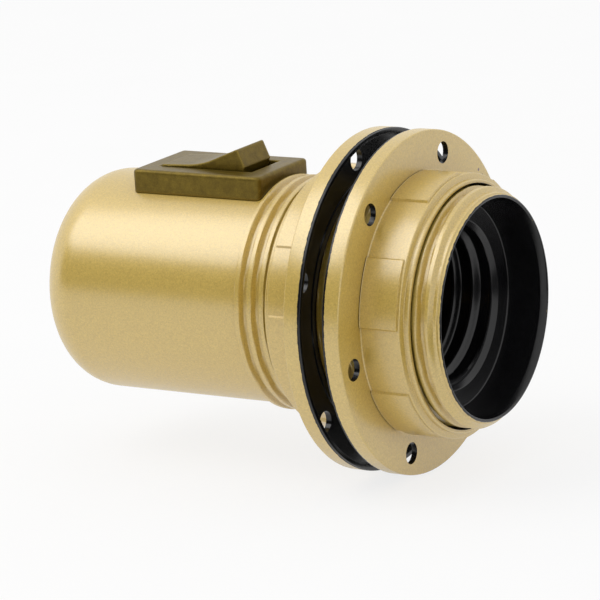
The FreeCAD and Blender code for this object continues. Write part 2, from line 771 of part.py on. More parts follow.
def check(doc, nodes):
    for item in doc.Objects:
        if "Invalid" in item.State or "Error" in item.State:
            raise RuntimeError("%s: %s" % (item.Name, item.State))
    for node in nodes:
        if node.Shape.isNull() or not node.Shape.isValid():
            raise RuntimeError(node.Label + " has no valid shape")


def main():
    doc = FreeCAD.newDocument("lampholder")
    sheet = fill_sheet(doc)
    nodes = [
        make_cap(doc),
        make_entry_bush(doc),
        make_lock_screw(doc),
        make_barrel(doc),
        make_shade_ring(doc, "front_shade_ring", "front_ring_x", "front_hole_angle", True),
        make_shade_ring(doc, "rear_shade_ring", "rear_ring_x", "rear_hole_angle", False),
        make_switch_housing(doc),
        make_rocker(doc),
        make_plunger(doc),
        make_rocker_spring(doc, sheet),
        make_bridge(doc),
        make_live_terminal(doc),
        make_switched_contact(doc),
        make_link_strip(doc),
        make_neutral_terminal(doc),
        make_terminal_screws(doc),
        make_carrier(doc),
        make_centre_contact(doc),
        make_side_contact(doc),
        make_rivets(doc),
    ]
    doc.recompute()
    check(doc, nodes)
    os.makedirs("parts", exist_ok=True)
    for node in nodes:
        node.Shape.exportStep("parts/%s.step" % node.Label)
        print(node.Label, "%.1f mm3" % node.Shape.Volume, len(node.Shape.Solids), "solid")


main()
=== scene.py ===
import math

import bmesh
import bpy
from mathutils import Matrix, Vector


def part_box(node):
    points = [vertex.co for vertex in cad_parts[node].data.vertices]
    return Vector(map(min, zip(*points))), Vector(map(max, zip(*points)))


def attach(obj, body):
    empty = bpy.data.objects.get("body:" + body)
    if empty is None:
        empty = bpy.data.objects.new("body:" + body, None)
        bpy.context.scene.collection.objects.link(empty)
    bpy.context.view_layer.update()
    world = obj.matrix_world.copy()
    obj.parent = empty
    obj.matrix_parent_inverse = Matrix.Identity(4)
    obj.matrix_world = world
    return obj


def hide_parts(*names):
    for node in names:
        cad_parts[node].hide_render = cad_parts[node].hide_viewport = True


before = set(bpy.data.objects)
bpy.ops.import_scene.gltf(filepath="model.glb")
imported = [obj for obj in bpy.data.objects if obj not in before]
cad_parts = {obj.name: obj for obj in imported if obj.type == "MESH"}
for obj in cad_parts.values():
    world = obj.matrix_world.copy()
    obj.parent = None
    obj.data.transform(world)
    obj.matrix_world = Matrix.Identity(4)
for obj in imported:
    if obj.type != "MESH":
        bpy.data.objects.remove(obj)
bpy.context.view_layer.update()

# Looks of a gold-painted lampholder. Metres, in the part's own frame:
# +X along the axis to the mouth, +Z up through the middle of the switch.

MM = 0.001

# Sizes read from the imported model.
CAP_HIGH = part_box("cap")[1]
BARREL_LOW, BARREL_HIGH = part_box("threaded_barrel")
FRONT_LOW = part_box("front_shade_ring")[0]
REAR_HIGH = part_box("rear_shade_ring")[1]
CAP_RADIUS = CAP_HIGH.y
CAP_LENGTH = CAP_HIGH.x
BARREL_START = BARREL_LOW.x
BARREL_END = BARREL_HIGH.x

# Cap and its switch window.
CAP_CORNER = 8 * MM
CAP_WALL = 1.7 * MM
CAP_SIDES = 192
BOSS_RADIUS = 9.4 * MM
WINDOW_START = 17.55 * MM
WINDOW_END = 38.25 * MM
WINDOW_HALF_WIDTH = 5.65 * MM
WINDOW_TOP = 30 * MM

# Barrel: outer thread, rim, mouth and shelf.
BARREL_SIDES = 180
BARREL_BORE = 17.2 * MM
NECK_BORE = 15.6 * MM
NECK_RADIUS = 17.25 * MM
NECK_STEP_X = 44 * MM
THREAD_ROOT = 19.1 * MM
THREAD_CREST = 19.98 * MM
THREAD_PITCH = 2.4 * MM
THREAD_START = 41.0 * MM
THREAD_END = 79.3 * MM
THREAD_CREST_WIDTH = 0.7 * MM
THREAD_ROOT_WIDTH = 1.9 * MM
THREAD_ROW = 0.14 * MM
RIM_GROOVE_RADIUS = 18.8 * MM
RIM_OUTER = 18.75 * MM
RIM_INNER = 18.25 * MM
MOUTH_RADIUS = 17.9 * MM
SHELF_X = 72.8 * MM
SHELF_OUTER = 17.45 * MM
SHELF_INNER = 14.2 * MM

# Socket thread, in the sleeve that the shelf carries.
SOCKET_PITCH = 3.63 * MM
SOCKET_MINOR = 12.25 * MM
SOCKET_MAJOR = 13.4 * MM
SOCKET_START = 58 * MM
SOCKET_END = 72.4 * MM
SOCKET_CREST_WIDTH = 0.15 * MM
SOCKET_ROOT_WIDTH = 2.1 * MM
SOCKET_ROW = 0.13 * MM
SOCKET_ROWS_LOW = 58.6 * MM
SOCKET_ROWS_HIGH = 71.6 * MM
SOCKET_LEAD_X = 72.0 * MM
SOCKET_FLOOR_X = 58.4 * MM
SOCKET_FLOOR_RADIUS = 13.45 * MM
SLEEVE_START = 50.5 * MM
SLEEVE_BORE = 13.85 * MM
SLEEVE_RADIUS = 15.1 * MM
POCKET_END = 71.2 * MM

# Shade rings. Distances along a ring are from its mating face.
RING_SIDES = 180
RING_BORE = 20.35 * MM
FLANGE_RADIUS = 28.79 * MM
FLANGE_THICK = 3.1 * MM
RIM_FACE_RADIUS = 28.7 * MM
RECESS_RADIUS = 27.9 * MM
COLLAR_RADIUS = 22 * MM
LIP_RADIUS = 21 * MM
RING_LENGTH = 11.55 * MM
PAD_RISE = 0.35 * MM
PAD_FROM = 3.2 * MM
PAD_TO = 10 * MM
PAD_EDGE = math.radians(0.35)
HOLE_CIRCLE = 25.1 * MM
HOLE_RADIUS = 1.85 * MM
HOLE_COUNT = 6
FRONT_HOLE_ANGLE = math.radians(11.5)
REAR_HOLE_ANGLE = math.radians(40)
CUTTER_BEHIND = 5 * MM
CUTTER_LENGTH = 12 * MM

# Where bare black plastic gives way to paint.
BARREL_PAINT_RADIUS = 18.82 * MM
BARREL_RIM_PAINT_RADIUS = 18.3 * MM
BARREL_RIM_PAINT_DEPTH = 0.6 * MM
RING_BLACK_DEPTH = 0.36 * MM
RECESS_BLACK_DEPTH = 2.4 * MM
RECESS_BLACK_RADIUS = 28 * MM
BORE_BLACK_RADIUS = 20.5 * MM
RING_PAINT_EDGE = 0.45 * MM
BARREL_PAINT_EDGE = 0.12 * MM
PAINT_EDGE_WANDER = 0.08 * MM
PAINT_EDGE_BLUR = 0.02 * MM

# Colours, linear; a pair is the dark and the light end of a ramp.
WHITE = (1, 1, 1)
GOLD_GRAIN = ((0.57, 0.39, 0.065), (0.70, 0.49, 0.09))
GOLD_FLAKE = ((0.84, 0.84, 0.78), (1.10, 1.10, 1.10))
# Painted shade in hollows, gold-tinted like light bounced about in them.
GOLD_HOLLOW_SHADE = (0.78, 0.74, 0.40)
# Painted shade in narrow creases and seams, such as under the switch.
GOLD_CREASE_SHADE = (0.16, 0.10, 0.014)
SPECK_RED = (0.10, 0.012, 0.008)
BARE = (0.004, 0.004, 0.005)
BLACK_CLOUD = ((0.003, 0.003, 0.0035), (0.006, 0.006, 0.007))
BRONZE_CLOUD = ((0.125, 0.083, 0.008), (0.20, 0.137, 0.016))
BRONZE_FLAKE = ((0.78, 0.78, 0.74), (1.22, 1.22, 1.20))
# Painted shade in the switch's narrow creases and seams.
BRONZE_CREASE_SHADE = (0.012, 0.008, 0.002)
# Painted highlight laid over the switch's rounded edges.
BRONZE_EDGE_HIGHLIGHT = (0.36, 0.26, 0.05)
BRASS_CLOUD = ((0.62, 0.44, 0.16), (0.80, 0.60, 0.26))
STEEL_CLOUD = ((0.50, 0.50, 0.51), (0.64, 0.64, 0.65))
FLOOR_CLOUD = ((0.90, 0.90, 0.90), (0.92, 0.92, 0.92))
CARD_CLOUD = ((0.02, 0.02, 0.02), (0.03, 0.03, 0.03))
SKY = ((0.40, 0.40, 0.40), (0.85, 0.85, 0.85))

# Paint and gloss; reaches of the painted shade in creases and hollows.
FLAKE_SCALE = 7500.0
CREASE_SHADE_REACH = 0.8 * MM
HOLLOW_SHADE_REACH = 7 * MM
GOLD_METALLIC = 0.35
GOLD_COAT = 0.85
BARE_ROUGHNESS = 0.25
BRONZE_BEVEL = 0.6 * MM

# Two tiny dark-red specks on the front flange's outer face: place and radius.
SPECKS = [
    ((67.05 * MM, 19.8 * MM, 18.29 * MM), 0.32 * MM),
    ((67.05 * MM, 21.1 * MM, 17.13 * MM), 0.22 * MM),
]

# Camera, fitted to the photograph, and studio.
CAMERA_AIM = Vector((0.0423, 0, 0))
CAMERA_DISTANCE = 0.6
CAMERA_LENS = 212.4
CAMERA_SHIFT = -0.01425
CAMERA_RIGHT = Vector((0.85266, 0.51854, -0.06390))
CAMERA_UP = Vector((-0.07462, 0.24192, 0.96742))
CAMERA_BACK = Vector((0.51711, -0.82011, 0.24497))
KEY_POWER = 1.9
FLOOR_SIZE = 3.0
FLOOR_GAP = 0.2 * MM
FLOOR_WHITE_SHARE = 0.8


# ---------------------------------------------------------------- meshes

def new_object(name, vertices, faces, material_of=None, materials=()):
    mesh = bpy.data.meshes.new(name)
    mesh.from_pydata(vertices, [], faces)
    mesh.update()
    built = bpy.data.objects.new(name, mesh)
    bpy.context.scene.collection.objects.link(built)
    for material in materials:
        mesh.materials.append(material)
    if material_of:
        for polygon in mesh.polygons:
            polygon.material_index = material_of(polygon.center)
    return built


def tidy_normals(built, sharp_degrees=32):
    """Points all faces outwards and shades smoothly, except over real edges."""
    shape = bmesh.new()
    shape.from_mesh(built.data)
    bmesh.ops.recalc_face_normals(shape, faces=shape.faces)
    shape.to_mesh(built.data)
    shape.free()
    for polygon in built.data.polygons:
        polygon.use_smooth = True
    built.data.set_sharp_from_angle(angle=math.radians(sharp_degrees))
    return built


def rounded_outline(corners, steps=5):
    """Points of a closed outline whose corners are (x, r, rounding); a rounding is an arc."""
    points = []
    count = len(corners)
    for index, (x, r, rounding) in enumerate(corners):
        here = Vector((x, r))
        if rounding == 0:
            points.append(here)
            continue
        reach_limits = []
        arms = []
        for neighbour in (corners[index - 1], corners[(index + 1) % count]):
            arm = Vector(neighbour[:2]) - here
            arms.append(arm.normalized())
            reach_limits.append(0.98 * arm.length * rounding / (rounding + neighbour[2]))
        half = arms[0].angle(arms[1]) / 2
        reach = min(rounding / math.tan(half), *reach_limits)
        centre = here + (arms[0] + arms[1]).normalized() * (reach / math.cos(half))
        first = here + arms[0] * reach - centre
        last = here + arms[1] * reach - centre
        for step in range(steps + 1):
            points.append(centre + first.slerp(last, step / steps) * first.length)
    return points


def lathe(name, outline, angles, materials, radius_at=None, material_of=None):
    """Turns a closed outline of (x, r) about the X axis; radius_at may wave or raise it."""
    vertices = []
    for angle in angles:
        for x, r in outline:
            shown = radius_at(x, r, angle) if radius_at else r
            vertices.append((x, shown * math.cos(angle), shown * math.sin(angle)))
    rows = len(outline)
    count = len(angles)
    faces = []
    for turn in range(count):
        base = turn * rows
        ahead = ((turn + 1) % count) * rows
        for row in range(rows):
            up = (row + 1) % rows
            faces.append((base + row, ahead + row, ahead + up, base + up))
    built = new_object(name, vertices, faces, material_of, materials)
    return tidy_normals(built)


def evenly(count):
    """Angles that share one turn."""
    return [2 * math.pi * turn / count for turn in range(count)]


def settle(built):
    """Bakes an object's modifiers into its mesh."""
    bpy.context.view_layer.update()
    graph = bpy.context.evaluated_depsgraph_get()
    mesh = bpy.data.meshes.new_from_object(built.evaluated_get(graph))
    built.modifiers.clear()
    built.data = mesh
    return built


def cut_away(built, cutters):
    """Cuts the cutters out of an object and deletes them."""
    for cutter in cutters:
        difference = built.modifiers.new("cut", "BOOLEAN")
        difference.operation = "DIFFERENCE"
        difference.solver = "EXACT"
        difference.object = cutter
    settle(built)
    for cutter in cutters:
        bpy.data.objects.remove(cutter)
    return tidy_normals(built)


def block(name, low, high):
    """Plain box between two corners."""
    corners = [(x, y, z) for x in (low[0], high[0]) for y in (low[1], high[1])
               for z in (low[2], high[2])]
    faces = [(0, 1, 3, 2), (4, 6, 7, 5), (0, 4, 5, 1), (2, 3, 7, 6), (0, 2, 6, 4), (1, 5, 7, 3)]
    return new_object(name, corners, faces)


def rod(name, start, length, radius, materials, sides=40):
    """Plain cylinder along +X that cuts a hole, whose wall takes the second material."""
    vertices = []
    for x in (0, length):
        for side in range(sides):
            angle = 2 * math.pi * side / sides
            across = Vector((x, radius * math.cos(angle), radius * math.sin(angle)))
            vertices.append(start + across)
    faces = [tuple(range(sides)), tuple(range(sides, 2 * sides))]
    for side in range(sides):
        after = (side + 1) % sides
        faces.append((side, after, sides + after, sides + side))
    return tidy_normals(new_object(name, vertices, faces, lambda middle: 1, materials))


# ---------------------------------------------------------------- materials

class Nodes:
    """Small helper that adds and links a material's shader nodes."""

    def __init__(self, name):
        self.material = bpy.data.materials.new(name)
        self.material.use_nodes = True
        self.tree = self.material.node_tree
        self.shader = self.tree.nodes["Principled BSDF"]

    def add(self, kind, settings=None, inputs=None):
        node = self.tree.nodes.new(kind)
        for key, value in (settings or {}).items():
            setattr(node, key, value)
        for key, value in (inputs or {}).items():
            if isinstance(value, bpy.types.NodeSocket):
                self.tree.links.new(value, node.inputs[key])
            else:
                node.inputs[key].default_value = value
        return node

    def set(self, **values):
        for key, value in values.items():
            socket = self.shader.inputs[key.replace("_", " ")]
            if isinstance(value, bpy.types.NodeSocket):
                self.tree.links.new(value, socket)
            else:
                socket.default_value = value

    def place(self):
        return self.add("ShaderNodeTexCoord").outputs["Object"]

    def noise(self, scale, detail=3.0, roughness=0.5):
        return self.add("ShaderNodeTexNoise", None, {
            "Vector": self.place(), "Scale": scale, "Detail": detail, "Roughness": roughness,
        }).outputs["Fac"]

    def ramp(self, factor, positions, colours):
        node = self.add("ShaderNodeValToRGB", None, {"Fac": factor})
        for element, position, colour in zip(node.color_ramp.elements, positions, colours):
            element.position = position
            element.color = (*colour, 1)
        return node.outputs["Color"]

    def mix(self, factor, first, second, blend="MIX"):
        node = self.add("ShaderNodeMix", {"data_type": "RGBA", "blend_type": blend})
        for socket, value in ((0, factor), (6, first), (7, second)):
            if isinstance(value, bpy.types.NodeSocket):
                self.tree.links.new(value, node.inputs[socket])
            elif socket == 0:
                node.inputs[socket].default_value = value
            else:
                node.inputs[socket].default_value = (*value, 1)
        return node.outputs[2]

    def span(self, value, source, target):
        """Carries a value from one range to another, and holds it there."""
        return self.add("ShaderNodeMapRange", None, {
            "Value": value, "From Min": source[0], "From Max": source[1],
            "To Min": target[0], "To Max": target[1],
        }).outputs["Result"]

    def bump(self, height, distance, strength=1.0, below=None):
        inputs = {"Height": height, "Distance": distance, "Strength": strength}
        if below is not None:
            inputs["Normal"] = below
        return self.add("ShaderNodeBump", None, inputs).outputs["Normal"]

    def openness(self, reach):
        """1 in the open, less where other surfaces stand within reach."""
        return self.add("ShaderNodeAmbientOcclusion", {"samples": 8},
                        {"Distance": reach}).outputs["AO"]


def flakes(nodes):
    """Random brightness of each paint flake, about a tenth of a millimetre across."""
    cells = nodes.add("ShaderNodeTexVoronoi", {"feature": "F1"},
                      {"Vector": nodes.place(), "Scale": FLAKE_SCALE})
    parts = nodes.add("ShaderNodeSeparateColor", None, {"Color": cells.outputs["Color"]})
    return parts.outputs["Red"]


def crease_shade(nodes):
    """Share from 0 to 0.9 by which a place lies in a narrow groove: the strength of painted shade
    there.
    """
    return nodes.span(nodes.openness(CREASE_SHADE_REACH), (0.25, 0.75), (0.9, 0.0))


def near(nodes, place, size):
    """1 within a distance of a place, 0 elsewhere."""
    away = nodes.add("ShaderNodeVectorMath", {"operation": "DISTANCE"},
                     {0: nodes.place(), 1: place})
    return nodes.span(away.outputs["Value"], (size, 0.7 * size), (0.0, 1.0))


def gold_layer(nodes):
    """Colour, roughness and surface of the metallic gold paint, with painted shade in hollows and
    creases.
    """
    speck = flakes(nodes)
    grain = nodes.noise(3200.0, detail=3.0, roughness=0.6)
    base = nodes.ramp(grain, (0.32, 0.70), GOLD_GRAIN)
    shade = nodes.ramp(speck, (0.0, 1.0), GOLD_FLAKE)
    colour = nodes.mix(0.7, base, shade, "MULTIPLY")
    # Painted shade: hollows darker and more olive, then narrow creases darker still.
    hollow_shade = nodes.span(nodes.openness(HOLLOW_SHADE_REACH), (0.35, 0.95), (0.75, 0.0))
    colour = nodes.mix(1.0, colour, nodes.mix(hollow_shade, WHITE, GOLD_HOLLOW_SHADE), "MULTIPLY")
    colour = nodes.mix(crease_shade(nodes), colour, GOLD_CREASE_SHADE)
    rough = nodes.span(speck, (0.0, 1.0), (0.46, 0.60))
    peel = nodes.bump(nodes.noise(2600.0, detail=2.0, roughness=0.5), 0.06 * MM, strength=0.5)
    normal = nodes.bump(speck, 0.02 * MM, strength=0.5, below=peel)
    return colour, rough, normal


def gold_paint(name="gold_paint", paint_edge=None, way=1, specks=()):
    """Gold paint; with an edge, it starts there along X, a little ragged, and runs the way given.

    Before the edge the black plastic is bare.
    """
    nodes = Nodes(name)
    colour, rough, normal = gold_layer(nodes)
    for place, size in specks:
        colour = nodes.mix(near(nodes, place, size), colour, SPECK_RED)
    if paint_edge is None:
        nodes.set(Base_Color=colour, Metallic=GOLD_METALLIC, Roughness=rough, Normal=normal)
        nodes.set(Coat_Weight=GOLD_COAT, Coat_Roughness=0.27, Coat_IOR=2.3)
        return nodes.material
    along = nodes.add("ShaderNodeSeparateXYZ", None, {0: nodes.place()}).outputs["X"]
    wander = nodes.span(nodes.noise(1100.0, detail=4.0, roughness=0.7), (0.3, 0.7),
                        (-PAINT_EDGE_WANDER, PAINT_EDGE_WANDER))
    line = nodes.add("ShaderNodeMath", {"operation": "ADD"}, {0: along, 1: wander}).outputs[0]
    blur = way * PAINT_EDGE_BLUR
    painted = nodes.span(line, (paint_edge - blur, paint_edge + blur), (0.0, 1.0))
    nodes.set(Base_Color=nodes.mix(painted, BARE, colour), Normal=normal)
    nodes.set(Metallic=nodes.span(painted, (0.0, 1.0), (0.0, GOLD_METALLIC)))
    mixed = nodes.add("ShaderNodeMix", None, {0: painted, 2: BARE_ROUGHNESS, 3: rough})
    nodes.set(Roughness=mixed.outputs[0])
    nodes.set(Coat_Weight=nodes.span(painted, (0.0, 1.0), (0.0, GOLD_COAT)),
              Coat_Roughness=0.27, Coat_IOR=2.3)
    return nodes.material


def black_plastic():
    """Bare black moulding, smooth."""
    nodes = Nodes("black_plastic")
    cloud = nodes.noise(350.0, detail=3.0)
    nodes.set(Base_Color=nodes.ramp(cloud, (0.3, 0.8), BLACK_CLOUD))
    nodes.set(Roughness=nodes.span(nodes.noise(1200.0), (0.3, 0.7), (0.20, 0.26)))
    nodes.set(Normal=nodes.bump(nodes.noise(500.0, detail=2.0), 0.02 * MM, strength=0.15),
              IOR=1.5)
    return nodes.material


def bronze_paint():
    """Olive-bronze paint of the switch, with painted shade in its creases and a painted highlight
    over its edges.
    """
    nodes = Nodes("bronze_paint")
    speck = flakes(nodes)
    cloud = nodes.noise(800.0, detail=4.0, roughness=0.6)
    base = nodes.ramp(cloud, (0.3, 0.75), BRONZE_CLOUD)
    shade = nodes.ramp(speck, (0.0, 1.0), BRONZE_FLAKE)
    colour = nodes.mix(0.8, base, shade, "MULTIPLY")
    # Painted shade in narrow creases.
    colour = nodes.mix(crease_shade(nodes), colour, BRONZE_CREASE_SHADE)
    bevel = nodes.add("ShaderNodeBevel", {"samples": 6}, {"Radius": BRONZE_BEVEL})
    rounded = bevel.outputs["Normal"]
    flat = nodes.add("ShaderNodeNewGeometry").outputs["True Normal"]
    across = nodes.add("ShaderNodeVectorMath", {"operation": "DOT_PRODUCT"}, {0: rounded, 1: flat})
    # Painted highlight: edges lighter where the rounded normal leans off the flat one.
    edge = nodes.span(across.outputs["Value"], (0.995, 0.90), (0.0, 0.7))
    nodes.set(Base_Color=nodes.mix(edge, colour, BRONZE_EDGE_HIGHLIGHT), Metallic=0.6,
              Specular_IOR_Level=0.35)
    nodes.set(Roughness=nodes.span(speck, (0.0, 1.0), (0.34, 0.46)))
    grain = nodes.noise(2200.0, detail=2.0)
    nodes.set(Normal=nodes.bump(grain, 0.05 * MM, strength=0.5, below=rounded))
    nodes.set(Coat_Weight=0.05, Coat_Roughness=0.3, Coat_IOR=1.5)
    return nodes.material


def plain_metal(name, cloud, roughness):
    """Bare metal inside the holder."""
    nodes = Nodes(name)
    nodes.set(Base_Color=nodes.ramp(nodes.noise(1500.0), (0.3, 0.75), cloud), Metallic=1.0)
    nodes.set(Roughness=nodes.span(nodes.noise(2500.0), (0.3, 0.7),
                                   (roughness - 0.06, roughness + 0.08)))
    nodes.set(Normal=nodes.bump(nodes.noise(4000.0, detail=2.0), 0.02 * MM, strength=0.4))
    return nodes.material


GOLD = gold_paint()
FRONT_GOLD = gold_paint("gold_paint_front", FRONT_LOW.x + RING_PAINT_EDGE, 1, SPECKS)
REAR_GOLD = gold_paint("gold_paint_rear", REAR_HIGH.x - RING_PAINT_EDGE, -1)
BARREL_GOLD = gold_paint("gold_paint_barrel", BARREL_END - BARREL_PAINT_EDGE, -1)
BLACK = black_plastic()
BRONZE = bronze_paint()
BRASS = plain_metal("brass", BRASS_CLOUD, 0.30)
STEEL = plain_metal("steel", STEEL_CLOUD, 0.32)


# ---------------------------------------------------------------- pieces
# A material_of function gives a face its slot: 0 is paint, 1 is bare black.

def make_cap():
    """Domed shell, turned whole, with the switch window cut through it."""
    inner = CAP_RADIUS - CAP_WALL
    bush_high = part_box("entry_bush")[1]
    outline = rounded_outline([
        (0, bush_high.y, 0.15 * MM),
        (0, CAP_RADIUS, CAP_CORNER),
        (CAP_LENGTH, CAP_RADIUS, 0.12 * MM),
        (CAP_LENGTH, inner, 0),
        (CAP_WALL, inner, CAP_CORNER - CAP_WALL),
        (CAP_WALL, BOSS_RADIUS, 0),
        (bush_high.x, BOSS_RADIUS, 0),
        (bush_high.x, bush_high.y, 0),
    ], 14)

    def material_of(middle):
        radius = math.hypot(middle.y, middle.z)
        return 0 if middle.x < CAP_CORNER or radius > CAP_RADIUS - 0.3 * CAP_WALL else 1

    cap = lathe("cap_shell", outline, evenly(CAP_SIDES), [GOLD, BLACK], None, material_of)
    window = block("window_cutter", (WINDOW_START, -WINDOW_HALF_WIDTH, 0),
                   (WINDOW_END, WINDOW_HALF_WIDTH, WINDOW_TOP))
    cut_away(cap, [window])
    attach(cap, "housing")
    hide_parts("cap")


def thread_wave(x, angle, start, end, pitch, crest_width, root_width):
    """Height from 0 to 1 of a right-handed rounded ridge at a place on a cylinder."""
    along = (x - start) / pitch - angle / (2 * math.pi)
    off = abs(along - round(along)) * pitch
    slope = (root_width / 2 - off) / ((root_width - crest_width) / 2)
    height = min(1, max(0, slope))
    height = height * height * (3 - 2 * height)
    run_out = 0.4 * pitch
    fade = min(1, max(0, (x - start + pitch / 2) / run_out), max(0, (end - x) / run_out))
    return height * fade


def make_barrel():
    """Threaded outer wall, rolled rim, tapered mouth, shelf and socket thread in one skin."""
    wall = []
    x = CAP_LENGTH + 0.15 * MM
    while x < BARREL_END - 1.0 * MM:
        wall.append((x, THREAD_ROOT, 0))
        x += THREAD_ROW
    socket = []
    x = SOCKET_ROWS_HIGH
    while x > SOCKET_ROWS_LOW:
        socket.append((x, SOCKET_MAJOR, 0))
        x -= SOCKET_ROW
    corners = [
        (BARREL_START, NECK_BORE, 0),
        (BARREL_START, NECK_RADIUS, 0),
        (CAP_LENGTH, NECK_RADIUS, 0),
        (CAP_LENGTH, THREAD_ROOT, 0.1 * MM),
        *wall,
        (BARREL_END - 0.75 * MM, THREAD_ROOT, 0),
        (BARREL_END - 0.55 * MM, THREAD_ROOT - 0.02 * MM, 0.2 * MM),
        (BARREL_END - 0.45 * MM, RIM_GROOVE_RADIUS, 0.1 * MM),
        (BARREL_END, RIM_OUTER, 0.25 * MM),
        (BARREL_END, RIM_INNER, 0.3 * MM),
        (BARREL_END - 1.2 * MM, MOUTH_RADIUS, 0.3 * MM),
        (SHELF_X, SHELF_OUTER, 0.3 * MM),
        (SHELF_X, SHELF_INNER, 0.3 * MM),
        (SOCKET_LEAD_X, SOCKET_MAJOR, 0.2 * MM),
        *socket,
        (SOCKET_FLOOR_X, SOCKET_FLOOR_RADIUS, 0),
        (SOCKET_FLOOR_X, SLEEVE_BORE, 0),
        (SLEEVE_START, SLEEVE_BORE, 0),
        (SLEEVE_START, SLEEVE_RADIUS, 0),
        (POCKET_END, SLEEVE_RADIUS, 0),
        (POCKET_END, BARREL_BORE, 0),
        (NECK_STEP_X, BARREL_BORE, 0),
        (NECK_STEP_X, NECK_BORE, 0),
    ]
    same = 1e-7

    def radius_at(x, r, angle):
        if abs(r - THREAD_ROOT) < same and x > CAP_LENGTH + 0.1 * MM:
            wave = thread_wave(x, angle, THREAD_START, THREAD_END, THREAD_PITCH,
                               THREAD_CREST_WIDTH, THREAD_ROOT_WIDTH)
            return r + (THREAD_CREST - THREAD_ROOT) * wave
        if abs(r - SOCKET_MAJOR) < same:
            wave = thread_wave(x, angle, SOCKET_START, SOCKET_END, SOCKET_PITCH,
                               SOCKET_CREST_WIDTH, SOCKET_ROOT_WIDTH)
            return r - (SOCKET_MAJOR - SOCKET_MINOR) * wave
        return r

    def material_of(middle):
        radius = math.hypot(middle.y, middle.z)
        outside = radius > BARREL_PAINT_RADIUS and middle.x > CAP_LENGTH - 0.01 * MM
        rim = (radius > BARREL_RIM_PAINT_RADIUS
               and middle.x > BARREL_END - BARREL_RIM_PAINT_DEPTH)
        return 0 if outside or rim else 1

    barrel = lathe("barrel_skin", rounded_outline(corners, 4), evenly(BARREL_SIDES),
                   [BARREL_GOLD, BLACK], radius_at, material_of)
    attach(barrel, "housing")
    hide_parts("threaded_barrel")


def make_ring(name, node, body, mating_x, way, hole_angle, paint):
    """Shade ring: recessed black mating side, painted collar with six grip pads, six holes."""
    corners = [
        (1.9 * MM, RING_BORE, 0),
        (1.9 * MM, 21.6 * MM, 0.1 * MM),
        (2.1 * MM, 21.8 * MM, 0.1 * MM),
        (2.1 * MM, 27.7 * MM, 0.2 * MM),
        (0, RECESS_RADIUS, 0.12 * MM),
        (0, RIM_FACE_RADIUS, 0.12 * MM),
        (0.35 * MM, RIM_FACE_RADIUS, 0),
        (0.4 * MM, FLANGE_RADIUS, 0),
        (FLANGE_THICK, FLANGE_RADIUS, 0.25 * MM),
        (FLANGE_THICK, 22.6 * MM, 0),
        (FLANGE_THICK, COLLAR_RADIUS, 0.25 * MM),
        (9.95 * MM, COLLAR_RADIUS, 0),
        (10.05 * MM, COLLAR_RADIUS, 0),
        (10.4 * MM, COLLAR_RADIUS, 0.2 * MM),
        (10.6 * MM, LIP_RADIUS, 0.15 * MM),
        (RING_LENGTH, LIP_RADIUS, 0.3 * MM),
        (RING_LENGTH, RING_BORE, 0.1 * MM),
    ]
    outline = [(mating_x + way * x, r) for x, r in rounded_outline(corners)]
    step = math.pi / HOLE_COUNT
    angles = set(evenly(RING_SIDES))
    for pad in range(HOLE_COUNT):
        for side in (0, 1):
            at = hole_angle + (2 * pad + side + 0.5) * step
            angles.update(((at - PAD_EDGE) % (2 * math.pi), (at + PAD_EDGE) % (2 * math.pi)))
    angles = sorted(angles)

    def radius_at(x, r, angle):
        along = way * (x - mating_x)
        if abs(r - COLLAR_RADIUS) > 0.2 * MM or not PAD_FROM < along < PAD_TO:
            return r
        turn = ((angle - hole_angle - step / 2) % (2 * step)) / step
        margin = PAD_EDGE / step / 2
        return r + (PAD_RISE if margin < turn < 1 - margin else 0)

    def material_of(middle):
        along = way * (middle.x - mating_x)
        radius = math.hypot(middle.y, middle.z)
        recess = along < RECESS_BLACK_DEPTH and radius < RECESS_BLACK_RADIUS
        return 1 if along < RING_BLACK_DEPTH or recess or radius < BORE_BLACK_RADIUS else 0

    ring = lathe(name, outline, angles, [paint, BLACK], radius_at, material_of)
    cutters = []
    for hole in range(HOLE_COUNT):
        at = hole_angle + hole * 2 * step
        centre = Vector((mating_x, HOLE_CIRCLE * math.cos(at), HOLE_CIRCLE * math.sin(at)))
        cutters.append(rod(name + "_cutter%d" % hole, centre - Vector((CUTTER_BEHIND, 0, 0)),
                           CUTTER_LENGTH, HOLE_RADIUS, [paint, BLACK]))
    cut_away(ring, cutters)
    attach(ring, body)
    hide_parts(node)


def dress_nodes():
    """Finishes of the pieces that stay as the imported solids."""
    finishes = {
        "entry_bush": BRASS, "entry_lock_screw": STEEL,
        "switch_housing": BRONZE, "switch_rocker": BRONZE,
        "rocker_plunger": BLACK, "rocker_spring": STEEL,
        "contact_bridge": BRASS, "live_terminal": BRASS,
        "switched_contact": BRASS, "link_strip": BRASS,
        "neutral_terminal": BRASS, "terminal_screws": STEEL,
        "contact_carrier": BLACK, "centre_contact": BRASS,
        "side_contact": BRASS, "contact_rivets": BRASS,
    }
    for node, material in finishes.items():
        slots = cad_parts[node].data.materials
        slots.clear()
        slots.append(material)


# ---------------------------------------------------------------- studio

def make_camera():
    data = bpy.data.cameras.new("camera")
    data.lens = CAMERA_LENS
    data.sensor_width = 36
    data.shift_y = CAMERA_SHIFT
    data.clip_end = 10
    camera = bpy.data.objects.new("camera", data)
    bpy.context.scene.collection.objects.link(camera)
    turn = Matrix((CAMERA_RIGHT, CAMERA_UP, CAMERA_BACK)).transposed().to_4x4()
    place = CAMERA_AIM + CAMERA_DISTANCE * CAMERA_BACK
    camera.matrix_world = Matrix.Translation(place) @ turn
    bpy.context.scene.camera = camera


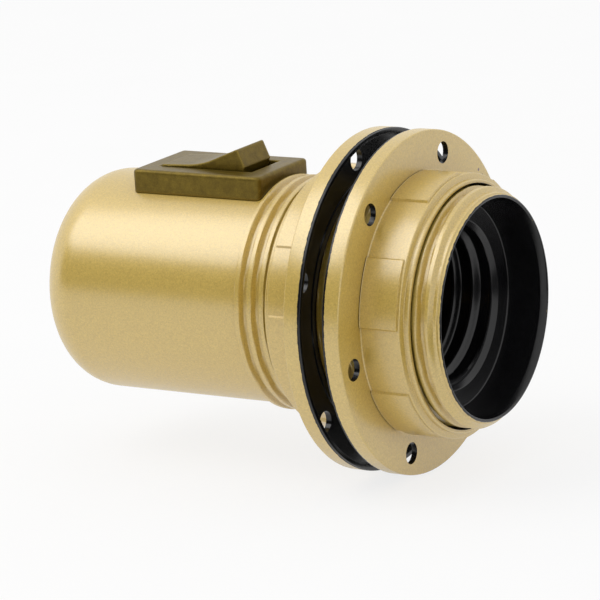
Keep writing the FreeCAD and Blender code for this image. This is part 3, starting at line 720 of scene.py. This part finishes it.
def area_light(name, place, aim, size, power):
    data = bpy.data.lights.new(name, "AREA")
    data.shape = "RECTANGLE"
    data.size, data.size_y = size
    data.energy = power
    lamp = bpy.data.objects.new(name, data)
    bpy.context.scene.collection.objects.link(lamp)
    lamp.location = place
    lamp.rotation_euler = (Vector(aim) - Vector(place)).to_track_quat("-Z", "Y").to_euler()


def background_rays(tree):
    """1 for camera, glossy and transmission rays, which see a white background."""
    path = tree.nodes.new("ShaderNodeLightPath")
    share = path.outputs["Is Camera Ray"]
    for ray in ("Is Glossy Ray", "Is Transmission Ray"):
        either = tree.nodes.new("ShaderNodeMath")
        either.operation = "MAXIMUM"
        tree.links.new(share, either.inputs[0])
        tree.links.new(path.outputs[ray], either.inputs[1])
        share = either.outputs[0]
    return share


def make_floor():
    """Pale floor just under the rings, nearly white to the camera, with the object's shadow."""
    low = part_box("front_shade_ring")[0].z - FLOOR_GAP
    floor = new_object("floor", [
        (-FLOOR_SIZE, -FLOOR_SIZE, low), (FLOOR_SIZE, -FLOOR_SIZE, low),
        (FLOOR_SIZE, FLOOR_SIZE, low), (-FLOOR_SIZE, FLOOR_SIZE, low),
    ], [(0, 1, 2, 3)])
    nodes = Nodes("floor_white")
    nodes.set(Base_Color=nodes.ramp(nodes.noise(40.0), (0.3, 0.7), FLOOR_CLOUD), Roughness=0.9)
    glow = nodes.add("ShaderNodeEmission", None, {"Color": (*WHITE, 1), "Strength": 1.0})
    share = nodes.add("ShaderNodeMath", {"operation": "MULTIPLY"},
                      {0: background_rays(nodes.tree), 1: FLOOR_WHITE_SHARE})
    blend = nodes.add("ShaderNodeMixShader", None, {0: share.outputs[0]})
    nodes.tree.links.new(nodes.shader.outputs[0], blend.inputs[1])
    nodes.tree.links.new(glow.outputs[0], blend.inputs[2])
    nodes.tree.links.new(blend.outputs[0], nodes.tree.nodes["Material Output"].inputs[0])
    floor.data.materials.append(nodes.material)


def make_flag(name, centre, across, rise):
    """Dark card which only reflections see: it keeps one side of gloss dark."""
    corners = [centre - across - rise, centre + across - rise,
               centre + across + rise, centre - across + rise]
    flag = new_object(name, corners, [(0, 1, 2, 3)])
    nodes = Nodes(name)
    nodes.set(Base_Color=nodes.ramp(nodes.noise(8.0), (0.3, 0.7), CARD_CLOUD), Roughness=1.0)
    flag.data.materials.append(nodes.material)
    flag.visible_camera = False
    flag.visible_diffuse = False
    flag.visible_shadow = False


def make_world():
    """White to the camera; for light, bright above and dimmer round the horizon."""
    world = bpy.data.worlds.new("studio")
    bpy.context.scene.world = world
    world.use_nodes = True
    tree = world.node_tree
    background = tree.nodes["Background"]
    place = tree.nodes.new("ShaderNodeTexCoord")
    split = tree.nodes.new("ShaderNodeSeparateXYZ")
    ramp = tree.nodes.new("ShaderNodeValToRGB")
    mix = tree.nodes.new("ShaderNodeMix")
    mix.data_type = "RGBA"
    tree.links.new(place.outputs["Generated"], split.inputs[0])
    tree.links.new(split.outputs["Z"], ramp.inputs["Fac"])
    for element, position, colour in zip(ramp.color_ramp.elements, (0.0, 0.65), SKY):
        element.position = position
        element.color = (*colour, 1)
    tree.links.new(background_rays(tree), mix.inputs[0])
    tree.links.new(ramp.outputs["Color"], mix.inputs[6])
    mix.inputs[7].default_value = (*WHITE, 1)
    tree.links.new(mix.outputs[2], background.inputs["Color"])
    background.inputs["Strength"].default_value = 1.0


def make_studio():
    make_camera()
    make_floor()
    make_world()
    area_light("key_light", (-0.36, -0.32, 0.62), (0.04, 0, 0), (0.55, 0.55), KEY_POWER)
    make_flag("side_card", Vector((-0.60, -1.05, 0.36)), Vector((0.783, -0.45, 0)),
              Vector((0, 0, 0.40)))
    make_flag("mouth_card", Vector((0.24, -0.05, -0.026)), Vector((0, 0.13, 0)),
              Vector((0.12, 0, 0)))
    bpy.context.scene.view_settings.view_transform = "Standard"


make_cap()
make_barrel()
make_ring("front_ring_skin", "front_shade_ring", "front_ring", FRONT_LOW.x, 1, FRONT_HOLE_ANGLE,
          FRONT_GOLD)
make_ring("rear_ring_skin", "rear_shade_ring", "rear_ring", REAR_HIGH.x, -1, REAR_HOLE_ANGLE,
          REAR_GOLD)
dress_nodes()
make_studio()
